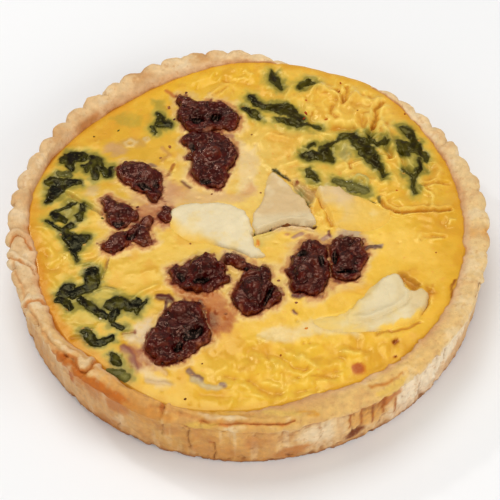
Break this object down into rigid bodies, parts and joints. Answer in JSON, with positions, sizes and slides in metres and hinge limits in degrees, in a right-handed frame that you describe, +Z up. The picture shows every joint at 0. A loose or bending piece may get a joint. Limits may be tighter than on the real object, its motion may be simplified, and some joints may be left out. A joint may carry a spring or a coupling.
{
  "type": "quiche",
  "caption": "Round fluted pastry case filled with set egg custard, topped with dark pudding chunks, cheese slices and wilted spinach; food that rests flat.",
  "frame": {"origin": "centre of the flat underside of the pastry case", "axes": "+Z up out of the custard, +Y towards the slumped back of the rim, -Y towards the viewer"},
  "size_m": [0.2101, 0.2111, 0.0342],
  "materials": {
    "pastry": "baked shortcrust, matt, floury at the rim and browned on the wall",
    "custard": "set egg custard with a glossy wrinkled skin",
    "pudding": "dark crumbly pudding, moist with small highlights",
    "cheese": "soft cream cheese slices with a thin film of custard",
    "spinach": "wilted dark green leaf"
  },
  "bodies": {
    "root": {"pastry_case": "pastry", "custard": "custard", "pudding_chunk_01": "pudding", "pudding_chunk_02": "pudding", "pudding_chunk_03": "pudding", "pudding_chunk_04": "pudding", "pudding_chunk_05": "pudding", "pudding_chunk_06": "pudding", "pudding_chunk_07": "pudding", "pudding_chunk_08": "pudding", "pudding_chunk_09": "pudding", "pudding_chunk_10": "pudding", "cheese_slice_1": "cheese", "cheese_slice_2": "cheese", "cheese_slice_3": "cheese", "cheese_slice_4": "cheese", "spinach_leaf_01": "spinach", "spinach_leaf_02": "spinach", "spinach_leaf_03": "spinach", "spinach_leaf_04": "spinach", "spinach_leaf_05": "spinach", "spinach_leaf_06": "spinach", "spinach_leaf_07": "spinach", "spinach_leaf_08": "spinach", "spinach_leaf_09": "spinach", "spinach_leaf_10": "spinach", "spinach_leaf_11": "spinach", "spinach_leaf_12": "spinach", "spinach_leaf_13": "spinach", "spinach_leaf_14": "spinach", "spinach_leaf_15": "spinach", "spinach_leaf_16": "spinach", "spinach_leaf_17": "spinach", "spinach_leaf_18": "spinach", "spinach_leaf_19": "spinach", "spinach_leaf_20": "spinach", "spinach_leaf_21": "spinach", "spinach_leaf_22": "spinach", "spinach_leaf_23": "spinach", "spinach_leaf_24": "spinach", "spinach_leaf_25": "spinach", "spinach_leaf_26": "spinach", "spinach_leaf_27": "spinach", "spinach_leaf_28": "spinach", "spinach_leaf_29": "spinach"}
  },
  "joints": []
}
